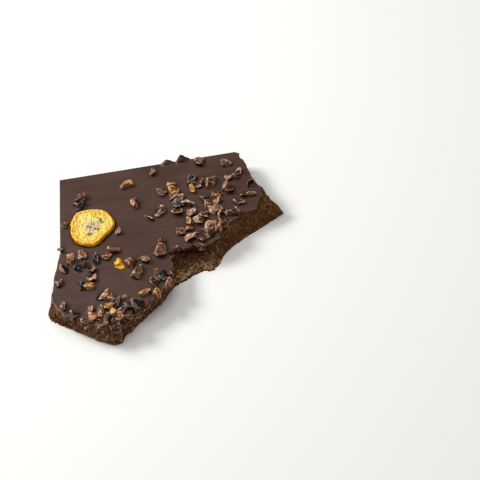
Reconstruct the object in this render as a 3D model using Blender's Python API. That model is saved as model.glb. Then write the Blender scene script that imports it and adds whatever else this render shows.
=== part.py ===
"""A shard of dark chocolate bark, snapped off the corner of a poured slab.

The shard lies flat, sprinkled side up. Its back and left walls were cast against the tray, and every
other wall is a break. Cocoa nibs and one crumb of peel are set in the top, and a candied kumquat slice
lies in a shallow bed. Lengths are millimetres from the tray corner of the top face, with +X along the
back wall and -Y towards the front; place() turns them into metres from the middle of the shard's foot.
"""

import math
import random

import bmesh
import bpy
from mathutils import Euler, Matrix, Vector, noise

MM = 0.001
THICKNESS = 9.0
MIDDLE = Vector((43.34, -42.48, 0.0))

# Corners of the shard, clockwise from the tray corner as seen from above: the x and y of the top edge,
# the x and y of the foot, how far the wall is scooped out at half height (less than 0 bulges), how much
# of it hangs over a ledge near its foot (from 0 to 1), and how craggy it is.
CORNERS = [
    (0.0, 0.0, 0.8, -0.8, 0.0, 0.0, 0.0),
    (78.0, 0.0, 79.2, -0.8, 0.3, 0.0, 1.0),
    (84.3, -18.0, 86.2, -17.5, 0.6, 0.0, 1.0),
    (87.6, -25.0, 90.0, -24.0, 0.6, 0.0, 0.8),
    (92.6, -33.2, 94.0, -31.2, 0.2, 0.0, 0.4),
    (84.2, -34.0, 85.4, -36.6, 0.3, 0.0, 0.3),
    (76.0, -34.6, 76.6, -41.4, 0.4, 0.0, 0.3),
    (71.6, -39.0, 71.4, -44.9, 0.4, 0.0, 0.4),
    (68.6, -43.8, 67.6, -48.2, 0.5, 0.0, 0.6),
    (65.0, -47.6, 65.2, -53.0, 1.0, 0.3, 1.0),
    (60.3, -49.8, 61.8, -55.9, 1.6, 0.8, 1.3),
    (55.4, -48.6, 57.4, -55.6, 1.9, 1.0, 1.5),
    (52.2, -50.0, 54.6, -56.8, 2.0, 1.0, 1.6),
    (50.4, -47.6, 52.2, -57.9, 1.6, 1.0, 1.6),
    (45.6, -50.0, 49.2, -59.4, 1.4, 0.9, 1.3),
    (47.1, -55.4, 46.6, -60.8, 0.6, 0.3, 0.9),
    (45.4, -64.0, 44.1, -63.4, 0.3, 0.0, 0.9),
    (40.4, -72.0, 39.8, -68.6, 0.2, 0.0, 1.0),
    (32.1, -76.6, 32.2, -75.8, 0.2, 0.0, 1.0),
    (24.4, -80.8, 24.8, -82.4, 0.0, 0.0, 1.0),
    (21.4, -82.4, 23.4, -85.6, -0.8, 0.0, 1.0),
    (17.6, -81.0, 19.4, -85.9, -1.4, 0.0, 1.0),
    (12.6, -80.6, 14.4, -83.3, -0.9, 0.0, 1.0),
    (7.2, -77.4, 7.2, -78.1, -0.3, 0.0, 0.9),
    (1.8, -73.9, 0.3, -73.5, 0.2, 0.0, 0.8),
    (-3.2, -68.6, -6.2, -68.7, 0.0, 0.0, 0.7),
    (-4.0, -66.0, -7.3, -65.0, 0.0, 0.0, 0.4),
    (-2.9, -55.0, -4.2, -54.6, 0.3, 0.0, 0.3),
    (0.0, -41.0, 0.3, -41.0, 0.1, 0.0, 0.0),
]
TRAY_WALLS = (0, len(CORNERS) - 1)  # the stretches from these corners to the next
STATION_STEP = 2.0
WALL_HEIGHTS = (9.0, 7.9, 6.3, 4.6, 3.0, 1.3, 0.0)
COARSE_CRAG, COARSE_CRAG_SIZE = 1.0, 6.5
FINE_CRAG, FINE_CRAG_SIZE = 1.1, 2.9
CRAG_AT_FOOT = 0.3  # the crags' share of their depth where the shard lay on its tray

# A flake has sprung off the top at the shard's right tip, from the first two points down to the third.
CHIP = ((83.8, -33.2, 9.0), (85.8, -26.6, 9.0), (92.6, -33.2, 5.7))

# The candied slice, and the bed that it has sunk into.
SLICE_CENTRE = (13.95, -30.45)
SLICE_RADIUS = 9.75
SLICE_HEIGHT = 2.3
SLICE_SUNK = 0.5
SLICE_STEPS = 48
GAP = 0.3

# Dents (-) and bulges (+) of the slice's rim: direction in degrees, depth and half width in degrees.
SLICE_RIM_BUMPS = [
    (-45, -1.5, 26), (173, -0.7, 14), (124, 1.2, 17), (35, -0.4, 18), (-90, 0.4, 24), (203, -0.5, 14),
    (75, -0.3, 12),
]

# Rings of the slice from its rim in: share of the radius, and height as a share of the slice's.
SLICE_RINGS = [(0.955, 0.93), (0.87, 1.0), (0.78, 0.91), (0.55, 0.86), (0.34, 0.90), (0.16, 0.80)]
PULP_CELLS = 7
PULP_RELIEF = 0.22

# Handfuls of cocoa nibs: x, y, reach, how many fell there and how long they are.
NIB_HANDFULS = [
    (9.6, -13.4, 0.0, 1, 5.8), (9.5, -17.4, 2.2, 2, 5.2), (41.0, -4.6, 0.0, 1, 4.0), (29.9, -9.8, 0.0, 1, 6.0),
    (33.0, -21.6, 0.0, 1, 5.6), (2.3, -26.6, 0.0, 1, 3.8), (24.6, -35.6, 0.0, 1, 4.0), (0.6, -39.8, 0.0, 1, 3.8),
    (4.4, -46.8, 0.0, 1, 5.8), (2.1, -50.7, 0.0, 1, 4.4), (9.4, -45.0, 0.0, 1, 5.0), (8.0, -50.4, 2.0, 2, 3.8),
    (15.1, -48.3, 0.0, 1, 5.8), (20.4, -46.0, 3.2, 2, 4.6), (30.2, -52.6, 0.0, 1, 5.8), (35.0, -52.1, 0.0, 1, 4.8),
    (32.0, -58.5, 0.0, 1, 5.8), (41.9, -48.6, 0.0, 1, 6.2), (42.8, -44.4, 0.0, 1, 4.2), (12.2, -55.4, 3.4, 2, 5.2),
    (10.1, -60.1, 2.8, 2, 4.8), (-0.6, -57.4, 0.0, 1, 4.6), (18.8, -67.6, 3.0, 2, 5.4), (21.1, -74.0, 3.0, 3, 5.0),
    (12.8, -76.2, 4.2, 4, 5.0), (6.2, -74.2, 0.0, 1, 4.6), (1.2, -69.7, 0.0, 1, 4.6), (18.4, -79.2, 3.2, 3, 4.6),
    (24.8, -79.2, 2.8, 3, 4.6), (30.4, -74.8, 2.6, 2, 4.8), (34.4, -69.2, 0.0, 1, 4.8), (39.1, -70.4, 0.0, 1, 5.4),
    (38.6, -62.8, 3.0, 2, 4.8), (42.6, -61.9, 0.0, 1, 5.8), (44.4, -66.0, 0.0, 1, 4.2), (47.7, -18.0, 4.8, 4, 5.2),
    (52.5, -25.4, 4.4, 4, 5.2), (42.9, -27.8, 0.0, 1, 5.6), (39.0, -30.1, 0.0, 1, 5.0), (58.7, -14.5, 3.8, 4, 4.6),
    (65.2, -16.0, 0.0, 1, 6.4), (72.0, -20.3, 2.0, 2, 5.2), (64.6, -26.9, 5.0, 5, 4.9), (56.9, -34.7, 5.2, 5, 4.9),
    (70.3, -34.8, 4.2, 3, 5.0), (76.6, -29.2, 0.0, 1, 5.0), (65.4, -42.2, 3.8, 4, 5.2), (50.7, -40.4, 0.0, 1, 4.8),
    (55.4, -44.2, 0.0, 1, 5.0), (60.4, -44.8, 0.0, 1, 5.8), (81.0, -26.2, 2.2, 2, 4.4), (82.4, -20.4, 0.0, 1, 4.4),
    (61.6, -3.0, 0.0, 1, 5.8), (73.0, -6.2, 0.0, 1, 4.6), (76.4, -14.0, 3.2, 3, 4.6),
]
NIB_LENGTH_SPREAD = (0.96, 1.24)
NIB_WIDTH_SHARE = (0.62, 0.85)
NIB_HEIGHT_SHARE = (0.5, 0.68)
NIB_TILT = math.radians(24)
NIB_SUNK_SHARE = 0.18  # how far its middle lies above the chocolate, as a share of its height
GOLDEN_ANGLE = math.radians(137.5)
NIB_SEED = 41

# Nibs that show in the breaks: the corner that each comes after, the share of the way to the next, and
# the height.
BREAK_NIBS = [
    (10, 0.5, 7.8), (11, 0.4, 8.0), (12, 0.5, 7.2), (13, 0.3, 7.8), (13, 0.8, 6.8), (14, 0.4, 7.8),
    (15, 0.6, 8.0), (16, 0.3, 7.4), (16, 0.8, 8.4), (17, 0.2, 7.0), (17, 0.55, 8.3), (17, 0.9, 6.6),
    (18, 0.2, 8.0), (18, 0.5, 6.4), (18, 0.8, 8.2), (19, 0.2, 7.4), (19, 0.6, 8.2), (19, 0.9, 5.4),
    (20, 0.2, 7.2), (20, 0.5, 8.4), (20, 0.7, 5.6), (20, 0.9, 7.8), (21, 0.2, 6.6), (21, 0.5, 8.2),
    (21, 0.8, 6.2), (22, 0.2, 8.0), (22, 0.5, 6.6), (22, 0.9, 8.2), (23, 0.5, 7.8), (24, 0.6, 8.0),
]
BREAK_NIB_LENGTH = (3.3, 5.1)
BREAK_NIB_SUNK = 0.2  # how far the middle of each lies inside the break, as a share of its length

PEEL_PLACE = (24.8, -52.6)
PEEL_SIZE = (6.0, 4.2, 3.2)

# A bubble under the poured top: x, y, width and height above the top.
BUBBLE = (26.5, -69.4, 2.6, 0.9)

# Splashes of chocolate set on the tray's rim: the left, peak and right x, the reach out and the height.
RIM_SPLASHES = [(44.8, 47.4, 51.0, 0.7, 1.9), (51.4, 53.8, 58.2, 1.0, 3.2)]


def place(x, y, z):
    """A point in millimetres from the tray corner, as metres in the part's frame."""
    return (Vector((x, y, z)) - MIDDLE) * MM


def finish(name, colour, roughness):
    """A plain food surface of that linear colour."""
    made = bpy.data.materials.new(name)
    made.use_nodes = True
    shader = made.node_tree.nodes["Principled BSDF"]
    shader.inputs["Base Color"].default_value = (*colour, 1.0)
    shader.inputs["Roughness"].default_value = roughness
    shader.inputs["Metallic"].default_value = 0.0
    return made


def new_object(name, mesh, material, collection):
    """The bmesh as an object in that collection, with its faces turned outwards."""
    bmesh.ops.recalc_face_normals(mesh, faces=mesh.faces)
    data = bpy.data.meshes.new(name)
    mesh.to_mesh(data)
    mesh.free()
    data.materials.append(material)
    made = bpy.data.objects.new(name, data)
    collection.objects.link(made)
    return made


def combine(target, tool, operation, solver="EXACT"):
    """Applies one Boolean of an object or a collection to the target."""
    modifier = target.modifiers.new(operation.title(), "BOOLEAN")
    modifier.operation = operation
    modifier.solver = solver
    if isinstance(tool, bpy.types.Collection):
        modifier.operand_type = "COLLECTION"
        modifier.collection = tool
    else:
        modifier.object = tool
    if solver == "EXACT":
        modifier.material_mode = "TRANSFER"
    evaluated = target.evaluated_get(bpy.context.evaluated_depsgraph_get())
    joined = bpy.data.meshes.new_from_object(evaluated)
    target.modifiers.clear()
    target.data = joined


def fill_hollows(target):
    """Keeps the target's largest shell alone, which fills hollows shut in between toppings."""
    shape = bmesh.new()
    shape.from_mesh(target.data)
    unseen = set(shape.verts)
    shells = []
    while unseen:
        shell = {unseen.pop()}
        edge_of_shell = list(shell)
        while edge_of_shell:
            here = edge_of_shell.pop()
            for edge in here.link_edges:
                there = edge.other_vert(here)
                if there in unseen:
                    unseen.remove(there)
                    shell.add(there)
                    edge_of_shell.append(there)
        shells.append(shell)
    largest = max(shells, key=len)
    spare = [vert for shell in shells if shell is not largest for vert in shell]
    bmesh.ops.delete(shape, geom=spare, context="VERTS")
    shape.to_mesh(target.data)
    shape.free()


def wall_stations():
    """The shard's outline every few millimetres: top, foot, scoop, ledge, crag and facing."""
    found = []
    for index, here in enumerate(CORNERS):
        there = CORNERS[(index + 1) % len(CORNERS)]
        steps = max(1, round(math.dist(here[:2], there[:2]) / STATION_STEP))
        found.extend(station_after(index, step / steps) for step in range(steps))
    return found


def station_after(index, share):
    """The station at that share of the way from a corner to the next."""
    here, there = CORNERS[index], CORNERS[(index + 1) % len(CORNERS)]
    row = [a + (b - a) * share for a, b in zip(here, there)]
    crag = 0.0 if index in TRAY_WALLS else row[6]
    along = Vector(there[0:2]) + Vector(there[2:4]) - Vector(here[0:2]) - Vector(here[2:4])
    outward = Vector((-along.y, along.x)).normalized()
    return Vector(row[0:2]), Vector(row[2:4]), row[4], row[5], crag, outward


def wall_point(station, height):
    """The point of the wall at that station and height, crags and all."""
    top, foot, scoop, ledge, crag, outward = station
    lean = 1.0 - height / THICKNESS
    crumble = CRAG_AT_FOOT + (1.0 - CRAG_AT_FOOT) * height / THICKNESS
    middle = top.lerp(foot, way_out(lean, ledge))
    out = crag * crumble * crag_depth(middle.x, middle.y, height) - scoop * math.sin(math.pi * lean)
    point = middle + outward * out
    return point.x, point.y, height


def way_out(lean, ledge):
    """The share of the way from top to foot at that share of the drop, by way of the ledge."""
    run = min(1.0, max(0.0, (lean - 0.35) / 0.33))
    stepped = 0.65 * run * run * (3.0 - 2.0 * run) + 0.35 * max(0.0, (lean - 0.68) / 0.32)
    return lean + ledge * (stepped - lean)


def crag_depth(x, y, z):
    """How far a break stands out at that point, from coarse steps and fine crumble."""
    here = Vector((x, y, z))
    coarse = noise.noise(here / COARSE_CRAG_SIZE) * COARSE_CRAG
    return coarse + noise.noise(here / FINE_CRAG_SIZE + Vector((7, 3, 5))) * FINE_CRAG


def shard_body(material, collection):
    """The slab itself: rings of the outline from the top edge to the foot, closed by flat faces."""
    stations = wall_stations()
    count = len(stations)
    shape = bmesh.new()
    rings = []
    for height in WALL_HEIGHTS:
        points = [wall_point(station, height) for station in stations]
        rings.append([shape.verts.new(place(*point)) for point in points])
    for upper, lower in zip(rings, rings[1:]):
        for index in range(count):
            after = (index + 1) % count
            shape.faces.new((upper[index], upper[after], lower[after], lower[index]))
    bmesh.ops.triangulate(shape, faces=shape.faces[:])
    shape.faces.new(rings[0])
    shape.faces.new(rings[-1])
    spring_off_chip(shape)
    return new_object("chocolate_shard", shape, material, collection)


def spring_off_chip(shape):
    """Cuts the flake off the right tip and closes the cut."""
    first, second, low = (place(*corner) for corner in CHIP)
    upwards = (second - first).cross(low - first).normalized()
    if upwards.z < 0.0:
        upwards.negate()
    everything = shape.verts[:] + shape.edges[:] + shape.faces[:]
    bmesh.ops.bisect_plane(
        shape, geom=everything, dist=1e-7, plane_co=first, plane_no=upwards, clear_outer=True
    )
    rim = [edge for edge in shape.edges if edge.is_boundary]
    bmesh.ops.contextual_create(shape, geom=rim)


def slice_radius(angle):
    """The candied slice's own uneven radius in that direction, in millimetres."""
    radius = SLICE_RADIUS
    for direction, depth, half_width in SLICE_RIM_BUMPS:
        away = (math.degrees(angle) - direction + 180.0) % 360.0 - 180.0
        radius += depth * math.exp(-((away / half_width) ** 2))
    return radius


def slice_ring(shape, share, spread, height):
    """One closed ring of the slice's outline, as vertices round its own centre."""
    ring = []
    for step in range(SLICE_STEPS):
        angle = 2.0 * math.pi * step / SLICE_STEPS
        radius = slice_radius(angle) * share + spread
        lift = height
        if 0.3 < share < 0.8:
            lift -= PULP_RELIEF * abs(math.sin(angle * PULP_CELLS / 2.0))
        point = Vector((radius * math.cos(angle), radius * math.sin(angle), lift))
        ring.append(shape.verts.new(point * MM))
    return ring


def bridge(shape, rings):
    """Joins each ring to the next with triangles."""
    for lower, upper in zip(rings, rings[1:]):
        count = len(lower)
        for index in range(count):
            after = (index + 1) % count
            shape.faces.new((lower[index], lower[after], upper[after]))
            shape.faces.new((lower[index], upper[after], upper[index]))


def candied_slice(material, collection):
    """The kumquat slice: a rounded rind, sunken pulp in cells, and a pitted core."""
    shape = bmesh.new()
    rings = [slice_ring(shape, 0.97, 0.0, 0.0), slice_ring(shape, 1.0, 0.0, 0.35 * SLICE_HEIGHT)]
    rings.append(slice_ring(shape, 1.0, 0.0, 0.7 * SLICE_HEIGHT))
    for share, height in SLICE_RINGS:
        rings.append(slice_ring(shape, share, 0.0, height * SLICE_HEIGHT))
    bridge(shape, rings)
    shape.faces.new(rings[0])
    core = shape.verts.new(Vector((0.0, 0.0, 0.74 * SLICE_HEIGHT)) * MM)
    inner = rings[-1]
    for index, here in enumerate(inner):
        shape.faces.new((here, inner[(index + 1) % len(inner)], core))
    made = new_object("candied_slice", shape, material, collection)
    made.location = place(*SLICE_CENTRE, THICKNESS - SLICE_SUNK)
    made.data.shade_smooth()
    made.data.set_sharp_from_angle(angle=math.radians(35))
    return made


def slice_bed(material, collection):
    """The cutter for the bed: the slice's outline, a gap wider and deeper, open above."""
    shape = bmesh.new()
    floor = slice_ring(shape, 1.0, GAP, -GAP)
    lid = slice_ring(shape, 1.0, GAP, 2.0 * SLICE_HEIGHT)
    bridge(shape, [floor, lid])
    shape.faces.new(floor)
    shape.faces.new(lid)
    made = new_object("slice_bed_cutter", shape, material, collection)
    made.location = place(*SLICE_CENTRE, THICKNESS - SLICE_SUNK)
    made.hide_render = True
    made.display_type = "WIRE"
    return made


def clear_of_slice(x, y, half_length):
    """The place pushed away from the slice, if a nib of that half length would touch it."""
    aside = Vector((x - SLICE_CENTRE[0], y - SLICE_CENTRE[1]))
    room = slice_radius(math.atan2(aside.y, aside.x)) + GAP + half_length
    if aside.length < room:
        aside.length = room
    return SLICE_CENTRE[0] + aside.x, SLICE_CENTRE[1] + aside.y


def sprinkle():
    """Every nib as its place, its length, width and height, and its turn, tilt and roll."""
    draw = random.Random(NIB_SEED)
    nibs = []
    for x, y, reach, count, usual_length in NIB_HANDFULS:
        start = draw.uniform(0.0, 2.0 * math.pi)
        for index in range(count):
            angle = start + index * GOLDEN_ANGLE
            away = reach * math.sqrt((index + 0.5) / count)
            length = usual_length * draw.uniform(*NIB_LENGTH_SPREAD)
            width = length * draw.uniform(*NIB_WIDTH_SHARE)
            height = length * draw.uniform(*NIB_HEIGHT_SHARE)
            turn = (
                draw.uniform(-NIB_TILT, NIB_TILT),
                draw.uniform(-NIB_TILT, NIB_TILT),
                draw.uniform(0.0, 2.0 * math.pi),
            )
            spot = (x + away * math.cos(angle), y + away * math.sin(angle))
            nibs.append((clear_of_slice(*spot, length / 2.0), (length, width, height), turn))
    return nibs


def nibs_in_breaks():
    """Every nib that shows in a break as its place, its length, width and height, and its turn."""
    draw = random.Random(NIB_SEED + 5)
    nibs = []
    for index, share, height in BREAK_NIBS:
        station = station_after(index, share)
        length = draw.uniform(*BREAK_NIB_LENGTH)
        x, y, z = wall_point(station, height)
        inward = -station[-1] * BREAK_NIB_SUNK * length
        turn = [draw.uniform(0.0, 2.0 * math.pi) for _ in range(3)]
        nibs.append(((x + inward.x, y + inward.y, z), (length, length * 0.75, length * 0.6), turn))
    return nibs


def chunk(name, size, centre, turn, draw, material, collection):
    """A broken chunk of twenty flat faces, no two alike, at its place."""
    shape = bmesh.new()
    bmesh.ops.create_icosphere(shape, subdivisions=1, radius=0.5)
    for corner in shape.verts:
        corner.co *= draw.uniform(0.8, 1.12)
    bmesh.ops.scale(shape, vec=Vector(size) * MM, verts=shape.verts)
    made = new_object(name, shape, material, collection)
    made.location = place(*centre)
    made.rotation_euler = Euler(turn)
    return made


def splash(name, left, peak, right, reach, height, material, collection):
    """A small wedge of chocolate that ran up the tray's rim and set there."""
    sunk = THICKNESS - 1.0
    spread = 1.0 + 1.0 / height
    left, right = peak + (left - peak) * spread, peak + (right - peak) * spread
    outline = [(left, -1.8), (right, -1.8), (right, 0.0), (left, 0.0)]
    shape = bmesh.new()
    low = [shape.verts.new(place(px, py, sunk)) for px, py in outline]
    tops = [
        shape.verts.new(place(peak, -1.2, THICKNESS + height * 0.5)),
        shape.verts.new(place(peak, reach, THICKNESS + height)),
    ]
    shape.faces.new(low)
    shape.faces.new((low[0], low[1], tops[0]))
    shape.faces.new((low[1], low[2], tops[1], tops[0]))
    shape.faces.new((low[2], low[3], tops[1]))
    shape.faces.new((low[3], low[0], tops[0], tops[1]))
    bmesh.ops.triangulate(shape, faces=shape.faces[:])
    return new_object(name, shape, material, collection)


def bubble(name, x, y, width, height, material, collection):
    """A low round bump, half of it under the top."""
    shape = bmesh.new()
    bmesh.ops.create_icosphere(shape, subdivisions=2, radius=0.5)
    bmesh.ops.scale(shape, vec=Vector((width, width, 2.0 * height)) * MM, verts=shape.verts)
    made = new_object(name, shape, material, collection)
    made.location = place(x, y, THICKNESS)
    return made


def main():
    for old in list(bpy.data.objects):
        bpy.data.objects.remove(old)
    scene = bpy.context.scene.collection
    chocolate = finish("dark_chocolate", (0.095, 0.062, 0.050), 0.42)
    cocoa = finish("roasted_cocoa_nib", (0.150, 0.078, 0.045), 0.62)
    kumquat = finish("candied_kumquat", (0.870, 0.600, 0.110), 0.35)
    peel = finish("candied_peel", (0.800, 0.420, 0.020), 0.35)

    shard = shard_body(chocolate, scene)
    cutter = slice_bed(chocolate, scene)
    combine(shard, cutter, "DIFFERENCE")
    bpy.data.objects.remove(cutter)

    toppings = bpy.data.collections.new("toppings")
    scene.children.link(toppings)
    draw = random.Random(NIB_SEED + 1)
    for index, ((x, y), size, turn) in enumerate(sprinkle()):
        centre = (x, y, THICKNESS + NIB_SUNK_SHARE * size[2])
        chunk(f"nib_{index}", size, centre, turn, draw, cocoa, toppings)
    for index, (centre, size, turn) in enumerate(nibs_in_breaks()):
        chunk(f"break_nib_{index}", size, centre, turn, draw, cocoa, toppings)
    centre = (*PEEL_PLACE, THICKNESS + NIB_SUNK_SHARE * PEEL_SIZE[2])
    chunk("peel_crumb", PEEL_SIZE, centre, (0.1, 0.0, 2.0), draw, peel, toppings)
    bubble("bubble", *BUBBLE, chocolate, toppings)
    for index, outline in enumerate(RIM_SPLASHES):
        splash(f"rim_splash_{index}", *outline, chocolate, toppings)
    combine(shard, toppings, "UNION")
    fill_hollows(shard)
    for topping in list(toppings.objects):
        bpy.data.objects.remove(topping)
    bpy.data.collections.remove(toppings)

    candied_slice(kumquat, scene)


main()
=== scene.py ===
import math
import random

import bpy
from mathutils import Euler, Matrix, Vector, kdtree, noise


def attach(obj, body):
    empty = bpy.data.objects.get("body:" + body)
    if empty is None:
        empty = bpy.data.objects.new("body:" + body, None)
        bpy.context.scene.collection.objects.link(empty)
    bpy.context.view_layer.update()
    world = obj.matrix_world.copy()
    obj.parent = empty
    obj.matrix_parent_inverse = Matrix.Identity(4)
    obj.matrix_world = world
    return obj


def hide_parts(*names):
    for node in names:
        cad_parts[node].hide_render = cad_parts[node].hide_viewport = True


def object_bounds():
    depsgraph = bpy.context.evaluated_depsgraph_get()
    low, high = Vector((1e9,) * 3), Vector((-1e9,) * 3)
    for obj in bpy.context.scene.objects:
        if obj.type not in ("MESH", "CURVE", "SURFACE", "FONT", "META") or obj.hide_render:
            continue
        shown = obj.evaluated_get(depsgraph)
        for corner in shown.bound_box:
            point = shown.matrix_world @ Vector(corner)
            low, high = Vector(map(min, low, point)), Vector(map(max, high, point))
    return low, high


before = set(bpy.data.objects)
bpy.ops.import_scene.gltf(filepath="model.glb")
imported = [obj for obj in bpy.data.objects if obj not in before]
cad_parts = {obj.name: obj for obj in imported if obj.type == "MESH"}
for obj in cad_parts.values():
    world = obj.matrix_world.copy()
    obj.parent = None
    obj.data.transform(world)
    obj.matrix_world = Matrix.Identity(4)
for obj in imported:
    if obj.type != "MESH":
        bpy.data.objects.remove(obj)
CAD_BOX = [list(corner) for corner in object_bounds()]

# A shard of dark chocolate bark with cocoa nibs, a crumb of peel and a candied kumquat slice. The sizes
# and places below are in millimetres: x and y from the tray corner, with +X along the back wall and -Y
# towards the front, and z up from the foot. place() turns a place into metres from the foot's middle.

MM = 0.001
THICKNESS = 9.0
MIDDLE = Vector((43.34, -42.48, 0.0))

# Corners of the shard, clockwise from the tray corner as seen from above: the x and y of the top edge,
# the x and y of the foot, how far the wall is scooped out at half height (less than 0 bulges), how much
# of it hangs over a ledge near its foot (from 0 to 1), and how craggy it is.
CORNERS = [
    (0.0, 0.0, 0.8, -0.8, 0.0, 0.0, 0.0),
    (78.0, 0.0, 79.2, -0.8, 0.3, 0.0, 1.0),
    (84.3, -18.0, 86.2, -17.5, 0.6, 0.0, 1.0),
    (87.6, -25.0, 90.0, -24.0, 0.6, 0.0, 0.8),
    (92.6, -33.2, 94.0, -31.2, 0.2, 0.0, 0.4),
    (84.2, -34.0, 85.4, -36.6, 0.3, 0.0, 0.3),
    (76.0, -34.6, 76.6, -41.4, 0.4, 0.0, 0.3),
    (71.6, -39.0, 71.4, -44.9, 0.4, 0.0, 0.4),
    (68.6, -43.8, 67.6, -48.2, 0.5, 0.0, 0.6),
    (65.0, -47.6, 65.2, -53.0, 1.0, 0.3, 1.0),
    (60.3, -49.8, 61.8, -55.9, 1.6, 0.8, 1.3),
    (55.4, -48.6, 57.4, -55.6, 1.9, 1.0, 1.5),
    (52.2, -50.0, 54.6, -56.8, 2.0, 1.0, 1.6),
    (50.4, -47.6, 52.2, -57.9, 1.6, 1.0, 1.6),
    (45.6, -50.0, 49.2, -59.4, 1.4, 0.9, 1.3),
    (47.1, -55.4, 46.6, -60.8, 0.6, 0.3, 0.9),
    (45.4, -64.0, 44.1, -63.4, 0.3, 0.0, 0.9),
    (40.4, -72.0, 39.8, -68.6, 0.2, 0.0, 1.0),
    (32.1, -76.6, 32.2, -75.8, 0.2, 0.0, 1.0),
    (24.4, -80.8, 24.8, -82.4, 0.0, 0.0, 1.0),
    (21.4, -82.4, 23.4, -85.6, -0.8, 0.0, 1.0),
    (17.6, -81.0, 19.4, -85.9, -1.4, 0.0, 1.0),
    (12.6, -80.6, 14.4, -83.3, -0.9, 0.0, 1.0),
    (7.2, -77.4, 7.2, -78.1, -0.3, 0.0, 0.9),
    (1.8, -73.9, 0.3, -73.5, 0.2, 0.0, 0.8),
    (-3.2, -68.6, -6.2, -68.7, 0.0, 0.0, 0.7),
    (-4.0, -66.0, -7.3, -65.0, 0.0, 0.0, 0.4),
    (-2.9, -55.0, -4.2, -54.6, 0.3, 0.0, 0.3),
    (0.0, -41.0, 0.3, -41.0, 0.1, 0.0, 0.0),
]
TRAY_WALLS = (0, len(CORNERS) - 1)  # the stretches from these corners to the next
STATION_STEP = 0.7
WALL_RINGS = 14
COARSE_CRAG, COARSE_CRAG_SIZE = 1.0, 6.5
FINE_CRAG, FINE_CRAG_SIZE = 1.1, 2.9
CRAG_AT_FOOT = 0.3  # the crags' share of their depth where the shard lay on its tray
LEDGE_FROM, LEDGE_TO = 0.35, 0.68  # the shares of the drop between which a wall steps out
LEDGE_STEP = 0.65  # the share of the way out that this step takes
GRAIN_SIZE = 0.36  # the spacing of the finished slab's mesh
KEPT_TRIANGLES = 0.72  # the share of them that is enough for its flat parts

# A flake has sprung off the top at the shard's right tip, from the first two points down to the third.
CHIP = ((83.8, -33.2, 9.0), (85.8, -26.6, 9.0), (92.6, -33.2, 5.7))
# How craggy the chip is, and how much painted shade it gets.
CHIP_CRAG, CHIP_PAINTED_SHADE = 1.2, 0.7

SLICE_CENTRE = (13.95, -30.45)
SLICE_RADIUS = 9.75
SLICE_HEIGHT = 2.3
SLICE_SUNK = 0.5
SLICE_EDGE_SHARE = 0.86  # the height of the rind, as a share of the slice's height
SLICE_RIM_ROUNDING = 0.045
BED_SIDES = 96
BED_ROOM = 0.12  # between the slice and its bed, at the side
BED_DEPTH = 0.65
GAP = 0.3

# Bumps and dents of the slice's rim: direction in degrees, how far it stands out and its half width.
SLICE_RIM_BUMPS = [
    (-45, -1.5, 26), (173, -0.7, 14), (124, 1.2, 17), (35, -0.4, 18), (-90, 0.4, 24), (203, -0.5, 14),
    (75, -0.3, 12),
]

# Handfuls of cocoa nibs: x, y, reach, how many fell there and how long they usually are.
NIB_HANDFULS = [
    (9.6, -13.4, 0.0, 1, 5.8), (9.5, -17.4, 2.2, 2, 5.2), (41.0, -4.6, 0.0, 1, 4.0),
    (29.9, -9.8, 0.0, 1, 6.0), (33.0, -21.6, 0.0, 1, 5.6), (2.3, -26.6, 0.0, 1, 3.8),
    (24.6, -35.6, 0.0, 1, 4.0), (0.6, -39.8, 0.0, 1, 3.8), (4.4, -46.8, 0.0, 1, 5.8),
    (2.1, -50.7, 0.0, 1, 4.4), (9.4, -45.0, 0.0, 1, 5.0), (8.0, -50.4, 2.0, 2, 3.8),
    (15.1, -48.3, 0.0, 1, 5.8), (20.4, -46.0, 3.2, 2, 4.6), (30.2, -52.6, 0.0, 1, 5.8),
    (35.0, -52.1, 0.0, 1, 4.8), (32.0, -58.5, 0.0, 1, 5.8), (41.9, -48.6, 0.0, 1, 6.2),
    (42.8, -44.4, 0.0, 1, 4.2), (12.2, -55.4, 3.4, 2, 5.2), (10.1, -60.1, 2.8, 2, 4.8),
    (-0.6, -57.4, 0.0, 1, 4.6), (18.8, -67.6, 3.0, 2, 5.4), (21.1, -74.0, 3.0, 3, 5.0),
    (12.8, -76.2, 4.2, 4, 5.0), (6.2, -74.2, 0.0, 1, 4.6), (1.2, -69.7, 0.0, 1, 4.6),
    (18.4, -79.2, 3.2, 3, 4.6), (24.8, -79.2, 2.8, 3, 4.6), (30.4, -74.8, 2.6, 2, 4.8),
    (34.4, -69.2, 0.0, 1, 4.8), (39.1, -70.4, 0.0, 1, 5.4), (38.6, -62.8, 3.0, 2, 4.8),
    (42.6, -61.9, 0.0, 1, 5.8), (44.4, -66.0, 0.0, 1, 4.2), (47.7, -18.0, 4.8, 4, 5.2),
    (52.5, -25.4, 4.4, 4, 5.2), (42.9, -27.8, 0.0, 1, 5.6), (39.0, -30.1, 0.0, 1, 5.0),
    (58.7, -14.5, 3.8, 4, 4.6), (65.2, -16.0, 0.0, 1, 6.4), (72.0, -20.3, 2.0, 2, 5.2),
    (64.6, -26.9, 5.0, 5, 4.9), (56.9, -34.7, 5.2, 5, 4.9), (70.3, -34.8, 4.2, 3, 5.0),
    (76.6, -29.2, 0.0, 1, 5.0), (65.4, -42.2, 3.8, 4, 5.2), (50.7, -40.4, 0.0, 1, 4.8),
    (55.4, -44.2, 0.0, 1, 5.0), (60.4, -44.8, 0.0, 1, 5.8), (81.0, -26.2, 2.2, 2, 4.4),
    (82.4, -20.4, 0.0, 1, 4.4), (61.6, -3.0, 0.0, 1, 5.8), (73.0, -6.2, 0.0, 1, 4.6),
    (76.4, -14.0, 3.2, 3, 4.6),
]
NIB_LENGTH_SPREAD = (0.96, 1.24)
NIB_WIDTH_SHARE = (0.62, 0.85)
NIB_HEIGHT_SHARE = (0.5, 0.68)
NIB_TILT = math.radians(24)
NIB_SUNK_SHARE = 0.18  # how far its middle lies above the chocolate, as a share of its height
HUSK_RISE = 0.34  # the same for a curled husk
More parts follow.
